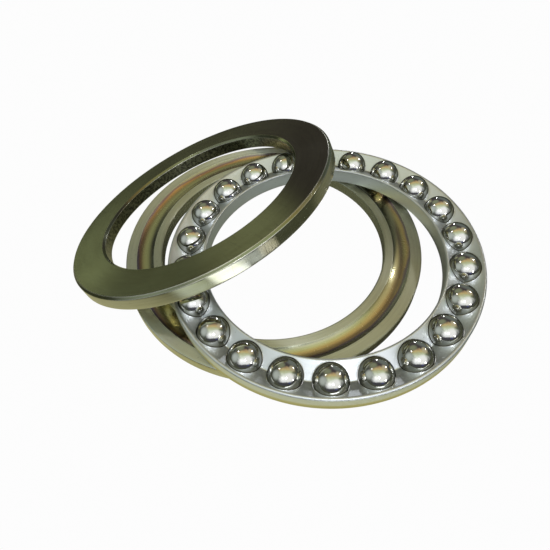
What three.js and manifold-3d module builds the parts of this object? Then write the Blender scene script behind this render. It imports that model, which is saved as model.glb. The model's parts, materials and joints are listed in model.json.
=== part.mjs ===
// Single-direction thrust ball bearing, taken apart for display.
// The housing washer lies flat, the caged balls lie on it a little off centre,
// and the shaft washer leans on the balls with its low edge past the other side.
// Millimetres, +Z up. The origin is the centre of the housing washer's back face.

import * as THREE from 'three';
import { mergeVertices } from 'three/addons/utils/BufferGeometryUtils.js';
import Module from 'manifold-3d';

const wasm = await Module();
wasm.setup();

// Bearing sizes
const OUTER_RADIUS = 67.5;
const HOUSING_BORE_RADIUS = 51;
const SHAFT_BORE_RADIUS = 50;
const ASSEMBLED_HEIGHT = 25;
const PITCH_RADIUS = 58.75;
const BALL_RADIUS = 13.494 / 2;
const BALL_COUNT = 22;

// Raceway groove, a little wider in section than the ball
const GROOVE_RADIUS = 0.54 * 2 * BALL_RADIUS;
const GROOVE_HALF_WIDTH = 3.83;
const GROOVE_ARC = Math.asin(GROOVE_HALF_WIDTH / GROOVE_RADIUS);
const GROOVE_DEPTH = GROOVE_RADIUS * (1 - Math.cos(GROOVE_ARC));
const GROOVE_STEPS = 6;
const WASHER_THICKNESS = ASSEMBLED_HEIGHT / 2 - BALL_RADIUS + GROOVE_DEPTH;

// Washer edge chamfers
const BACK_CHAMFER = 1;
const FACE_CHAMFER = 0.5;

// Pressed cage: offsets from the pitch circle and from the ball centres
const SHEET_THICKNESS = 0.9;
const INNER_WALL_OFFSET = -7.4;
const OUTER_WALL_OFFSET = 7.9;
const INNER_WALL_BOTTOM = -4.6;
const OUTER_WALL_BOTTOM = -5;
const WALL_TOP = 1.4;
const CREST_HEIGHT = 2.3;
const CREST_INSET = 0.7;
const VALLEY_HEIGHT = -2;
const POCKET_CLEARANCE = 0.5;

// Display layout along X, seen from the housing washer's axis
const RESTING_GAP = 0.3;
const CAGE_SHIFT = 26.4;
const CAGE_HEIGHT = WASHER_THICKNESS + RESTING_GAP + BALL_RADIUS;
const BALL_PHASE = THREE.MathUtils.degToRad(6.3);
const LEANING_SHIFT = -42.7;
const LEANING_HEIGHT = 16.15;
const LEANING_TILT = THREE.MathUtils.degToRad(24.6);

// Facets
const WASHER_SEGMENTS = 96;
const CAGE_SEGMENTS = 4 * BALL_COUNT;
const BALL_SEGMENTS = 14;
const BALL_RINGS = 10;
const POCKET_SEGMENTS = 12;
const POCKET_RINGS = 8;

const groundSteel = { color: 0x8f9186, roughness: 0.22, metalness: 1 };
const darkSteel = { color: 0x4b4c42, roughness: 0.38, metalness: 1 };
const pressedSteel = { color: 0xb4b6b2, roughness: 0.34, metalness: 1 };
const ballSteel = { color: 0xc9c9c4, roughness: 0.06, metalness: 1 };

// Turns a closed [radius, height] outline about Z. The outline runs anticlockwise.
function revolve(outline, segments) {
  const points = [...outline, outline[0]].map(([radius, height]) => new THREE.Vector2(radius, height));
  return new THREE.LatheGeometry(points, segments).rotateX(Math.PI / 2);
}

// Washer section with its raceway side up and its back face at height 0.
function washerOutline(boreRadius) {
  const outline = [
    [boreRadius + BACK_CHAMFER, 0],
    [OUTER_RADIUS - BACK_CHAMFER, 0],
    [OUTER_RADIUS, BACK_CHAMFER],
    [OUTER_RADIUS, WASHER_THICKNESS - FACE_CHAMFER],
    [OUTER_RADIUS - FACE_CHAMFER, WASHER_THICKNESS],
  ];
  const arcCentreHeight = WASHER_THICKNESS - GROOVE_DEPTH + GROOVE_RADIUS;
  for (let step = 0; step <= GROOVE_STEPS; step += 1) {
    const angle = GROOVE_ARC * (1 - (2 * step) / GROOVE_STEPS);
    outline.push([
      PITCH_RADIUS + GROOVE_RADIUS * Math.sin(angle),
      arcCentreHeight - GROOVE_RADIUS * Math.cos(angle),
    ]);
  }
  outline.push([boreRadius + FACE_CHAMFER, WASHER_THICKNESS]);
  outline.push([boreRadius, WASHER_THICKNESS - FACE_CHAMFER]);
  outline.push([boreRadius, BACK_CHAMFER]);
  return outline;
}

// Unit normal on the left of the step from one midline point to the next.
function leftNormal(from, to) {
  return new THREE.Vector2(from.y - to.y, to.x - from.x).normalize();
}

// Closed outline of a bent sheet, given the midline of its section.
function sheetOutline(midline, thickness) {
  const half = thickness / 2;
  const upper = [];
  const lower = [];
  midline.forEach((point, index) => {
    const before = midline[index - 1];
    const after = midline[index + 1];
    const first = before ? leftNormal(before, point) : leftNormal(point, after);
    const second = after ? leftNormal(point, after) : first;
    const mitre = first.clone().add(second).normalize();
    const reach = half / mitre.dot(first);
    upper.push([point.x + mitre.x * reach, point.y + mitre.y * reach]);
    lower.push([point.x - mitre.x * reach, point.y - mitre.y * reach]);
  });
  return [...lower, ...upper.reverse()];
}

function toManifold(geometry) {
  const bare = geometry.clone();
  bare.deleteAttribute('normal');
  bare.deleteAttribute('uv');
  const merged = mergeVertices(bare, 1e-4);
  const mesh = new wasm.Mesh({
    numProp: 3,
    vertProperties: new Float32Array(merged.attributes.position.array),
    triVerts: new Uint32Array(merged.index.array),
  });
  return new wasm.Manifold(mesh);
}

function fromManifold(solid) {
  const mesh = solid.getMesh();
  const geometry = new THREE.BufferGeometry();
  geometry.setAttribute('position', new THREE.BufferAttribute(mesh.vertProperties, mesh.numProp));
  geometry.setIndex(new THREE.BufferAttribute(mesh.triVerts, 1));
  geometry.computeVertexNormals();
  return geometry;
}

// Centre of a ball on the pitch circle, in the cage's own frame.
function ballCentre(index) {
  const angle = BALL_PHASE + (2 * Math.PI * index) / BALL_COUNT;
  return new THREE.Vector3(PITCH_RADIUS * Math.cos(angle), PITCH_RADIUS * Math.sin(angle), 0);
}

// One-piece cage bent from sheet, with a round pocket around each ball.
function cageGeometry() {
  const midline = [
    [INNER_WALL_OFFSET, INNER_WALL_BOTTOM],
    [INNER_WALL_OFFSET, WALL_TOP],
    [INNER_WALL_OFFSET + CREST_INSET, CREST_HEIGHT],
    [0, VALLEY_HEIGHT],
    [OUTER_WALL_OFFSET - CREST_INSET, CREST_HEIGHT],
    [OUTER_WALL_OFFSET, WALL_TOP],
    [OUTER_WALL_OFFSET, OUTER_WALL_BOTTOM],
  ].map(([offset, height]) => new THREE.Vector2(PITCH_RADIUS + offset, height));
  let solid = toManifold(revolve(sheetOutline(midline, SHEET_THICKNESS), CAGE_SEGMENTS));
  const pocket = new THREE.SphereGeometry(BALL_RADIUS + POCKET_CLEARANCE, POCKET_SEGMENTS, POCKET_RINGS);
  for (let index = 0; index < BALL_COUNT; index += 1) {
    const centre = ballCentre(index);
    const turned = pocket.clone().rotateZ(BALL_PHASE + (2 * Math.PI * index) / BALL_COUNT);
    solid = solid.subtract(toManifold(turned.translate(centre.x, centre.y, centre.z)));
  }
  return fromManifold(solid);
}

function piece(name, geometry, finish) {
  const material = new THREE.MeshStandardMaterial(finish);
  const mesh = new THREE.Mesh(geometry, material);
  mesh.name = name;
  return mesh;
}

// Housing washer, flat with its raceway up
const housingWasher = piece(
  'housing_washer',
  revolve(washerOutline(HOUSING_BORE_RADIUS), WASHER_SEGMENTS),
  groundSteel,
);

// Cage and balls, parallel to the housing washer
const cageAndBalls = new THREE.Group();
cageAndBalls.position.set(CAGE_SHIFT, 0, CAGE_HEIGHT);
cageAndBalls.add(piece('cage', cageGeometry(), pressedSteel));
const ballGeometry = new THREE.SphereGeometry(BALL_RADIUS, BALL_SEGMENTS, BALL_RINGS);
for (let index = 0; index < BALL_COUNT; index += 1) {
  const ball = piece(`ball_${String(index + 1).padStart(2, '0')}`, ballGeometry.clone(), ballSteel);
  ball.position.copy(ballCentre(index));
  ball.rotation.z = BALL_PHASE + (2 * Math.PI * index) / BALL_COUNT;
  cageAndBalls.add(ball);
}

// Shaft washer, raceway down, leaning towards -X
const shaftWasher = piece(
  'shaft_washer',
  revolve(washerOutline(SHAFT_BORE_RADIUS), WASHER_SEGMENTS).rotateX(Math.PI),
  darkSteel,
);
const leaning = new THREE.Group();
leaning.position.set(LEANING_SHIFT, 0, LEANING_HEIGHT);
leaning.rotation.y = -LEANING_TILT;
leaning.add(shaftWasher);

const group = new THREE.Group();
group.name = 'thrust_ball_bearing';
group.add(housingWasher, cageAndBalls, leaning);

export default group;
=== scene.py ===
"""Looks of a single-direction thrust ball bearing, laid out in its separate rings.

The housing washer lies with its raceway up, the pressed cage full of balls lies on it a little off
centre, and the shaft washer leans on the balls with its raceway down. Every ring is rebuilt as a
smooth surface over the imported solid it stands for, in the same frame, in metres.
"""

import json
import logging
import math
from dataclasses import dataclass
from enum import Enum
from typing import Callable, Sequence, Union

import bpy
import numpy as np
from mathutils import Matrix, Vector


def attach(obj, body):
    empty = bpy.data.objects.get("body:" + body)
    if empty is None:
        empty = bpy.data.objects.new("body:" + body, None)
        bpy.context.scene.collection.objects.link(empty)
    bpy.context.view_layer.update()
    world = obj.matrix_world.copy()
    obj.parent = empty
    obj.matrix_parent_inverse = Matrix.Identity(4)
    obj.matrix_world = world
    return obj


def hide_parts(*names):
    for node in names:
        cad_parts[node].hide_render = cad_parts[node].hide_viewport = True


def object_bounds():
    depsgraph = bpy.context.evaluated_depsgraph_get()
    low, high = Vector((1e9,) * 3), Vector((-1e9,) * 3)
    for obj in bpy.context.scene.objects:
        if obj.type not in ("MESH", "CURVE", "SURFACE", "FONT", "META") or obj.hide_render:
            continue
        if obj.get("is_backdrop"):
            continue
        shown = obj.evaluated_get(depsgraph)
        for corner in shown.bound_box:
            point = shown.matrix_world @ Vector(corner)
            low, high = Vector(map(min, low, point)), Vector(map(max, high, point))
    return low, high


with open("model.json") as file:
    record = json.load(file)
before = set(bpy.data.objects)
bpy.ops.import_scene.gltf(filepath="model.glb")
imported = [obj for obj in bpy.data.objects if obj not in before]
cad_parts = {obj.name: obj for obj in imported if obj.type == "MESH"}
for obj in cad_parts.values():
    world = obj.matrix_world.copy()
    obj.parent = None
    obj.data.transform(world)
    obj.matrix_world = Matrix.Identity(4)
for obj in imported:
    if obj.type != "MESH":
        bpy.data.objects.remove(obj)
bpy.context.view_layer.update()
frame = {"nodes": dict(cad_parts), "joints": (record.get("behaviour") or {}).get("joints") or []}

LOG = logging.getLogger("thrust_bearing")
MM = 0.001
FULL_TURN = 2.0 * math.pi
ALMOST_ZERO = 1e-9


# --------------------------------------------------------------------------------------------------
# Placing
# --------------------------------------------------------------------------------------------------


@dataclass(frozen=True)
class Seat:
    """Where a ring or ball sits: its centre and the direction of its axis in the part's frame."""

    centre: tuple[float, float, float] = (0.0, 0.0, 0.0)
    axis: tuple[float, float, float] = (0.0, 0.0, 1.0)

    @classmethod
    def of_joint(cls, name: str) -> "Seat":
        """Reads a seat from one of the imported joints.

        Args:
            name: The joint's name.

        Returns:
            The seat at the joint's point, along its axis.
        """
        joint = next(entry for entry in frame["joints"] if entry["name"] == name)
        return cls(tuple(joint["pos_m"]), tuple(joint["axis"]))

    def place(self, local: np.ndarray) -> np.ndarray:
        """Carries points from the ring's own frame into the part's frame.

        The ring's third direction is its axis. Its first is the part's X with the share along the
        axis taken away, and its second is square to both. A point goes to the centre plus its three
        coordinates times those directions.

        Args:
            local: Points as an array of shape (n, 3), in metres.

        Returns:
            The same points in the part's frame.
        """
        axis = np.array(self.axis) / np.linalg.norm(self.axis)
        side = np.array([1.0, 0.0, 0.0]) - axis[0] * axis
        side /= np.linalg.norm(side)
        front = np.cross(axis, side)
        return np.array(self.centre) + local @ np.stack([side, front, axis])


# --------------------------------------------------------------------------------------------------
# Outlines
# --------------------------------------------------------------------------------------------------


@dataclass(frozen=True)
class Corner:
    """A corner of an outline: radius, height and how far its rounding reaches, in millimetres.

    wear says how much the corner is rubbed bright, from 0 to 1.
    """

    radius: float
    height: float
    rounding: float = 0.0
    wear: float = 0.0

    @property
    def point(self) -> np.ndarray:
        """The corner as a pair (radius, height)."""
        return np.array([self.radius, self.height])


def rounded(before: np.ndarray, corner: Corner, after: np.ndarray, steps: int = 7) -> np.ndarray:
    """Rounds one corner with a quadratic curve.

    The curve starts on the side before the corner and ends on the side after it, each at the
    corner's rounding from the corner, and its control point is the corner itself:
    (1-t)^2 start + 2t(1-t) corner + t^2 end.

    Args:
        before: A point on the side before the corner.
        corner: The corner.
        after: A point on the side after the corner.
        steps: Points on the curve.

    Returns:
        The curve's points, shape (steps, 2), or the corner alone if it isn't rounded.
    """
    middle = corner.point
    if corner.rounding == 0.0:
        return middle[None, :]
    to_before = (before - middle) / np.linalg.norm(before - middle)
    to_after = (after - middle) / np.linalg.norm(after - middle)
    t = np.linspace(0.0, 1.0, steps)[:, None]
    start = middle + corner.rounding * to_before
    end = middle + corner.rounding * to_after
    return (1 - t) ** 2 * start + 2 * t * (1 - t) * middle + t**2 * end


def round_corners(corners: Sequence[Corner], closed: bool) -> np.ndarray:
    """Joins rounded corners into one outline.

    Args:
        corners: The corners in order.
        closed: Whether the last corner is followed by the first.

    Returns:
        Points of shape (n, 2), in millimetres.
    """
    runs = []
    for index, corner in enumerate(corners):
        is_end = not closed and index in (0, len(corners) - 1)
        if is_end:
            runs.append(corner.point[None, :])
            continue
        before = corners[index - 1].point
        after = corners[(index + 1) % len(corners)].point
        runs.append(rounded(before, corner, after))
    return np.concatenate(runs)


def respace(points: np.ndarray, spacing: float, closed: bool) -> np.ndarray:
    """Adds points along an outline's long sides, so that none is longer than the spacing.

    Each side is cut into equal shares: its start plus k/n of the way to its end.

    Args:
        points: The outline, shape (n, 2).
        spacing: The longest side allowed, in the outline's unit.
        closed: Whether the last point is joined to the first.

    Returns:
        The outline with its added points.
    """
    ends = np.roll(points, -1, axis=0)
    if not closed:
        ends = ends[:-1]
    starts = points[: len(ends)]
    lengths = np.linalg.norm(ends - starts, axis=1)
    shares = np.maximum(1, np.ceil(lengths / spacing)).astype(int)
    owner = np.repeat(np.arange(len(starts)), shares)
    first = np.cumsum(shares) - shares
    fraction = ((np.arange(len(owner)) - first[owner]) / shares[owner])[:, None]
    filled = starts[owner] + fraction * (ends - starts)[owner]
    return filled if closed else np.vstack([filled, points[-1]])


def arc_length(points: np.ndarray) -> np.ndarray:
    """Distance along an open outline from its first point to each of its points."""
    steps = np.linalg.norm(np.diff(points, axis=0), axis=1)
    return np.concatenate([[0.0], np.cumsum(steps)])


# --------------------------------------------------------------------------------------------------
# Meshes
# --------------------------------------------------------------------------------------------------


@dataclass
class Surface:
    """A quad surface with the values that its material reads at each vertex.

    vertices is (n, 3) in metres and quads is (m, 4). lay is (n, 3): the cosine and sine of the
    vertex's angle round the ring and its distance along the section, so a pattern can run round the
    ring with no seam. section is (n, 3): radius, height and lift off the sheet's middle. wear is
    (n,): 1 on an edge that rubs, falling to 0 away from it. sweep is (m, 4, 2), the UV of each
    quad's corners, which gives the direction across the grinding.
    """

    vertices: np.ndarray
    quads: np.ndarray
    lay: np.ndarray
    section: np.ndarray
    wear: np.ndarray
    sweep: np.ndarray | None = None

    def welded(self, tolerance: float = 2e-7) -> "Surface":
        """Joins vertices that stand at the same place, and drops quads left with no area.

        Places are rounded to the tolerance, and every distinct rounded place keeps one vertex.

        Args:
            tolerance: How close two vertices are to count as one, in metres.

        Returns:
            The joined surface.
        """
        keys = np.round(self.vertices / tolerance).astype(np.int64)
        _, first, owner = np.unique(keys, axis=0, return_index=True, return_inverse=True)
        quads = owner.reshape(-1)[self.quads]
        ordered = np.sort(quads, axis=1)
        repeats = (np.diff(ordered, axis=1) == 0).sum(axis=1)
        return Surface(
            self.vertices[first],
            quads[repeats == 0],
            self.lay[first],
            self.section[first],
            self.wear[first],
        )

    def to_object(self, name: str, body: str, material: bpy.types.Material) -> bpy.types.Object:
        """Makes a Blender object of the surface and lets it ride on a body.

        Args:
            name: The piece's name.
            body: The body it moves with.
            material: Its finish.

        Returns:
            The object, at the origin, with its place in its mesh.
        """
        mesh = bpy.data.meshes.new(name)
        mesh.vertices.add(len(self.vertices))
        mesh.vertices.foreach_set("co", self.vertices.astype(np.float32).ravel())
        mesh.loops.add(self.quads.size)
        mesh.loops.foreach_set("vertex_index", self.quads.astype(np.int32).ravel())
        mesh.polygons.add(len(self.quads))
        mesh.polygons.foreach_set("loop_start", np.arange(0, self.quads.size, 4, dtype=np.int32))
        mesh.update(calc_edges=True)
        mesh.polygons.foreach_set("use_smooth", np.ones(len(self.quads), dtype=bool))
        for title, values in (("lay", self.lay), ("section", self.section)):
            attribute = mesh.attributes.new(title, "FLOAT_VECTOR", "POINT")
            attribute.data.foreach_set("vector", values.astype(np.float32).ravel())
        worn = mesh.attributes.new("wear", "FLOAT", "POINT")
        worn.data.foreach_set("value", self.wear.astype(np.float32))
        if self.sweep is not None:
            layer = mesh.uv_layers.new(name="sweep")
            layer.uv.foreach_set("vector", self.sweep.astype(np.float32).ravel())
        mesh.materials.append(material)
        piece = bpy.data.objects.new(name, mesh)
        bpy.context.scene.collection.objects.link(piece)
        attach(piece, body)
        return piece


def join(parts: Sequence[Surface]) -> Surface:
    """Puts several surfaces into one, with each one's quads counted on from the last.

    Args:
        parts: The surfaces.

    Returns:
        The one surface, not yet welded.
    """
    offsets = np.cumsum([0] + [len(part.vertices) for part in parts[:-1]])
    return Surface(
        np.concatenate([part.vertices for part in parts]),
        np.concatenate([part.quads + offset for part, offset in zip(parts, offsets)]),
        np.concatenate([part.lay for part in parts]),
        np.concatenate([part.section for part in parts]),
        np.concatenate([part.wear for part in parts]),
    )


def grid_quads(rows: int, columns: int, wrap_rows: bool, wrap_columns: bool) -> np.ndarray:
    """Quads of a grid whose vertex (i, j) has number i * columns + j.

    Args:
        rows: Vertices in the first direction.
        columns: Vertices in the second direction.
        wrap_rows: Whether the last row is joined to the first.
        wrap_columns: Whether the last column is joined to the first.

    Returns:
        Vertex numbers, shape (m, 4).
    """
    i = np.arange(rows if wrap_rows else rows - 1)[:, None]
    j = np.arange(columns if wrap_columns else columns - 1)[None, :]
    next_i = (i + 1) % rows
    next_j = (j + 1) % columns
    here = (i * columns + j, next_i * columns + j)
    after = (next_i * columns + next_j, i * columns + next_j)
    return np.stack(np.broadcast_arrays(*here, *after), axis=-1).reshape(-1, 4)


# --------------------------------------------------------------------------------------------------
# Material nodes
# --------------------------------------------------------------------------------------------------

Socket = bpy.types.NodeSocket
Source = Union[Socket, float, Sequence[float]]
Range = tuple[float, float]
Colour = tuple[float, float, float]
Stops = tuple[tuple[float, Colour], ...]


@dataclass(frozen=True)
class Grain:
    """A kind of noise: how fine it is, how many finer layers it has and how strong they are."""

    scale: float
    layers: float
    strength: float


class Graph:
    """A short way to write a node tree: each method adds a node and returns its output."""

    def __init__(self, tree: bpy.types.NodeTree) -> None:
        """Keeps the tree that the nodes go into."""
        self.tree = tree

    def add(self, kind: str, **settings: object) -> bpy.types.Node:
        """Adds a node.

        Args:
            kind: The node's type.
            settings: Properties to set on it.

        Returns:
            The node.
        """
        node = self.tree.nodes.new(kind)
        for key, value in settings.items():
            setattr(node, key, value)
        return node

    def feed(self, socket: Socket, value: Source) -> None:
        """Links an output to a socket, or sets the socket to a plain value.

        Args:
            socket: The socket to feed.
            value: An output, a number or several numbers.
        """
        if isinstance(value, bpy.types.NodeSocket):
            self.tree.links.new(value, socket)
        else:
            socket.default_value = value

    def attribute(self, name: str, vector: bool = True) -> Socket:
        """Reads a value stored on the piece's vertices."""
        node = self.add("ShaderNodeAttribute", attribute_name=name)
        return node.outputs["Vector" if vector else "Fac"]

    def maths(self, operation: str, a: Source, b: Source = 0.0, clamp: bool = False) -> Socket:
        """One step of arithmetic.

        Args:
            operation: The step's name.
            a: The first number.
            b: The second number, where the step has one.
            clamp: Whether the result is held between 0 and 1.

        Returns:
            The result.
        """
        node = self.add("ShaderNodeMath", operation=operation, use_clamp=clamp)
        self.feed(node.inputs[0], a)
        self.feed(node.inputs[1], b)
        return node.outputs[0]

    def blend(self, first: Source, second: Source, share: float, rest: float) -> Socket:
        """Adds a share of one number to a share of another.

        Args:
            first: The first number.
            second: The second number.
            share: What the first is multiplied by.
            rest: What the second is multiplied by.

        Returns:
            The sum.
        """
        scaled = self.maths("MULTIPLY", first, share)
        return self.maths("ADD", scaled, self.maths("MULTIPLY", second, rest))

    def scaled(self, vector: Source, scale: Source) -> Socket:
        """Multiplies each part of a vector by its own number.

        Args:
            vector: The vector.
            scale: The three numbers.

        Returns:
            The stretched vector.
        """
        node = self.add("ShaderNodeVectorMath", operation="MULTIPLY")
        self.feed(node.inputs[0], vector)
        self.feed(node.inputs[1], scale)
        return node.outputs[0]

    def along(self, vector: Source, direction: Sequence[float]) -> Socket:
        """How far a vector goes in a direction: their dot product.

        Args:
            vector: The vector.
            direction: A unit direction.

        Returns:
            The distance.
        """
        node = self.add("ShaderNodeVectorMath", operation="DOT_PRODUCT")
        self.feed(node.inputs[0], vector)
        self.feed(node.inputs[1], direction)
        return node.outputs["Value"]

    def part(self, vector: Source, index: int) -> Socket:
        """Takes one of a vector's three numbers.

        Args:
            vector: The vector.
            index: Which number: 0, 1 or 2.

        Returns:
            The number.
        """
        node = self.add("ShaderNodeSeparateXYZ")
        self.feed(node.inputs[0], vector)
        return node.outputs[index]

    def noise(self, place: Source, grain: Grain, scale: Socket | None = None) -> Socket:
        """Smooth noise between 0 and 1.

        Args:
            place: Where the noise is read.
            grain: The kind of noise.
            scale: A fineness to use in place of the grain's own.

        Returns:
            The noise.
        """
        node = self.add("ShaderNodeTexNoise")
        self.feed(node.inputs["Vector"], place)
        self.feed(node.inputs["Scale"], grain.scale if scale is None else scale)
        self.feed(node.inputs["Detail"], grain.layers)
        self.feed(node.inputs["Roughness"], grain.strength)
        return node.outputs[0]

    def span(self, value: Source, across: Range, to: Range = (0.0, 1.0)) -> Socket:
        """Maps one range of a number onto another by a smooth step, and holds it past both ends.

        Args:
            value: The number.
            across: The range it is read over.
            to: What the range's two ends become.

        Returns:
            The mapped number.
        """
        node = self.add("ShaderNodeMapRange", interpolation_type="SMOOTHSTEP")
        for socket, entry in zip(node.inputs, (value, *across, *to)):
            self.feed(socket, entry)
        return node.outputs[0]

    def mix(self, share: Source, first: Source, second: Source, mode: str = "MIX") -> Socket:
        """Mixes two colours.

        Args:
            share: How much of the second there is, from 0 to 1.
            first: The first colour.
            second: The second colour.
            mode: How they are put together.

        Returns:
            The mixed colour.
        """
        node = self.add("ShaderNodeMix", data_type="RGBA", blend_type=mode)
        self.feed(node.inputs[0], share)
        self.feed(node.inputs[6], first)
        self.feed(node.inputs[7], second)
        return node.outputs[2]

    def ramp(self, share: Source, stops: Stops) -> Socket:
        """Goes through a row of colours.

        Args:
            share: Where along the row to read, from 0 to 1.
            stops: Each colour after its place in the row.

        Returns:
            The colour.
        """
        node = self.add("ShaderNodeValToRGB")
        self.feed(node.inputs[0], share)
        elements = node.color_ramp.elements
        while len(elements) < len(stops):
            elements.new(0.5)
        for element, (place, colour) in zip(elements, stops):
            element.position = place
            element.color = opaque(colour)
        return node.outputs[0]

    def bump(self, height: Source, strength: float, depth: float) -> Socket:
        """Tilts the normal by a height map.

        Args:
            height: The map.
            strength: How much of the tilt to use, from 0 to 1.
            depth: How far the map's full height stands out, in metres.

        Returns:
            The tilted normal.
        """
        node = self.add("ShaderNodeBump")
        self.feed(node.inputs["Height"], height)
        node.inputs["Strength"].default_value = strength
        node.inputs["Distance"].default_value = depth
        return node.outputs[0]

    def group(self, tree: bpy.types.NodeTree, **values: Source) -> bpy.types.Node:
        """Places a shared effect.

        Args:
            tree: The effect.
            values: What each of its inputs is fed, by the input's name.

        Returns:
            The effect's node.
        """
        node = self.add("ShaderNodeGroup", node_tree=tree)
        for key, value in values.items():
            self.feed(node.inputs[key], value)
        return node


def opaque(colour: Colour) -> tuple[float, float, float, float]:
    """A colour with the fourth number that sockets want."""
    return (*colour, 1.0)


def grey(value: float) -> tuple[float, float, float, float]:
    """A number as a colour, so that numbers can be mixed as colours are."""
    return (value, value, value, 1.0)


def object_place(graph: Graph) -> Socket:
    """The surface point in the part's frame, in metres."""
    return graph.add("ShaderNodeTexCoord").outputs["Object"]


# --------------------------------------------------------------------------------------------------
# Shared effects
# --------------------------------------------------------------------------------------------------

Sockets = dict[str, Socket]

FINE_LAY = Grain(1.0, 4.0, 0.7)
COARSE_LAY = Grain(0.21, 2.0, 0.5)
LAY_SHARES = (0.6, 0.4)

EDGE_CHIPS = Grain(900.0, 5.0, 0.75)
EDGE_GAPS = Grain(38.0, 2.0, 0.5)
EDGE_SHARES = (0.75, 0.45)
BARE_FROM = (0.24, 0.52)

OIL_POOLS = Grain(26.0, 3.0, 0.5)
OIL_SMEARS = Grain(1.0, 3.0, 0.6)
OIL_SPECKS = Grain(900.0, 2.0, 0.6)
OIL_SHARES = (0.65, 0.35)
SMEAR_STRETCH = (3.0, 3.0, 260.0)
SPECKS_FROM = (0.66, 0.76)

HAIRLINE = Grain(1.0, 1.0, 0.5)
HAIRLINE_TURNS = (0.4, 1.5, 2.6)
HAIRLINE_TILT = 0.7
HAIRLINE_STRETCH = (60.0, 2600.0, 60.0)
HAIRLINE_FROM = (0.66, 0.74)


def build_lay_lines(graph: Graph, given: Sockets, result: Sockets) -> None:
    """Fine lines that run round the ring, broken up by slower changes along them.

    The lay vector is stretched: little along the ring, much across it, so noise on it draws out
    into lines. A fine and a coarse set are added.

    Args:
        graph: The group's nodes.
        given: The group's inputs by name.
        result: The group's outputs by name.
    """
    stretch = graph.add("ShaderNodeCombineXYZ")
    for socket, name in zip(stretch.inputs, ("Along", "Along", "Across")):
        graph.feed(socket, given[name])
    place = graph.scaled(given["Lay"], stretch.outputs[0])
    fine = graph.noise(place, FINE_LAY)
    coarse = graph.noise(place, COARSE_LAY)
    graph.feed(result["Lines"], graph.blend(fine, coarse, *LAY_SHARES))


def build_worn_edge(graph: Graph, given: Sockets, result: Sockets) -> None:
    """Where an edge is rubbed bright: the stored wear, broken up by noise into chips and gaps.

    Args:
        graph: The group's nodes.
        given: The group's inputs by name.
        result: The group's outputs by name.
    """
    chips = graph.noise(given["Vector"], EDGE_CHIPS, given["Grain"])
    gaps = graph.noise(given["Vector"], EDGE_GAPS)
    wear = graph.maths("MULTIPLY", given["Wear"], given["Amount"])
    share = graph.maths("MULTIPLY", wear, graph.blend(chips, gaps, *EDGE_SHARES))
    graph.feed(result["Bare"], graph.span(share, BARE_FROM))


def build_oil_film(graph: Graph, given: Sockets, result: Sockets) -> None:
    """A film of oil: its thickness in slow pools, smears drawn round the ring, and small specks.

    Args:
        graph: The group's nodes.
        given: The group's inputs by name.
        result: The group's outputs by name.
    """
    pools = graph.noise(given["Vector"], OIL_POOLS)
    smears = graph.noise(graph.scaled(given["Lay"], SMEAR_STRETCH), OIL_SMEARS)
    graph.feed(result["Film"], graph.blend(pools, smears, *OIL_SHARES))
    specks = graph.noise(given["Vector"], OIL_SPECKS)
    graph.feed(result["Specks"], graph.span(specks, SPECKS_FROM))


def build_fine_scratches(graph: Graph, given: Sockets, result: Sockets) -> None:
    """Hairline marks in three directions: noise drawn out along each, kept where it is highest.

    Args:
        graph: The group's nodes.
        given: The group's inputs by name.
        result: The group's outputs by name.
    """
    most: Source = 0.0
    for angle in HAIRLINE_TURNS:
        mapping = graph.add("ShaderNodeMapping")
        graph.feed(mapping.inputs["Vector"], given["Vector"])
        mapping.inputs["Rotation"].default_value = (angle, HAIRLINE_TILT * angle, angle)
        drawn = graph.scaled(mapping.outputs[0], HAIRLINE_STRETCH)
        marks = graph.span(graph.noise(drawn, HAIRLINE), HAIRLINE_FROM)
        most = graph.maths("MAXIMUM", marks, most)
    graph.feed(result["Scratches"], most)


def effect(
    name: str,
    inputs: dict[str, float | tuple[float, float, float]],
    outputs: Sequence[str],
    build: Callable[[Graph, Sockets, Sockets], None],
) -> bpy.types.NodeTree:
    """Makes a shared effect: a shader node group with named inputs and outputs.

    Args:
        name: The group's name.
        inputs: Each input's name and start value. A tuple of three is a vector.
        outputs: Each output's name.
        build: Fills the group, given the graph, its input sockets and its output sockets.

    Returns:
        The group.
    """
    tree = bpy.data.node_groups.new(name, "ShaderNodeTree")
    for title, value in inputs.items():
        is_vector = isinstance(value, tuple)
        kind = "NodeSocketVector" if is_vector else "NodeSocketFloat"
        socket = tree.interface.new_socket(name=title, in_out="INPUT", socket_type=kind)
        socket.default_value = value
    for title in outputs:
        tree.interface.new_socket(name=title, in_out="OUTPUT", socket_type="NodeSocketFloat")
    graph = Graph(tree)
    entry = graph.add("NodeGroupInput")
    exit_node = graph.add("NodeGroupOutput")
    build(graph, {s.name: s for s in entry.outputs}, {s.name: s for s in exit_node.inputs})
    return tree


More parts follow.
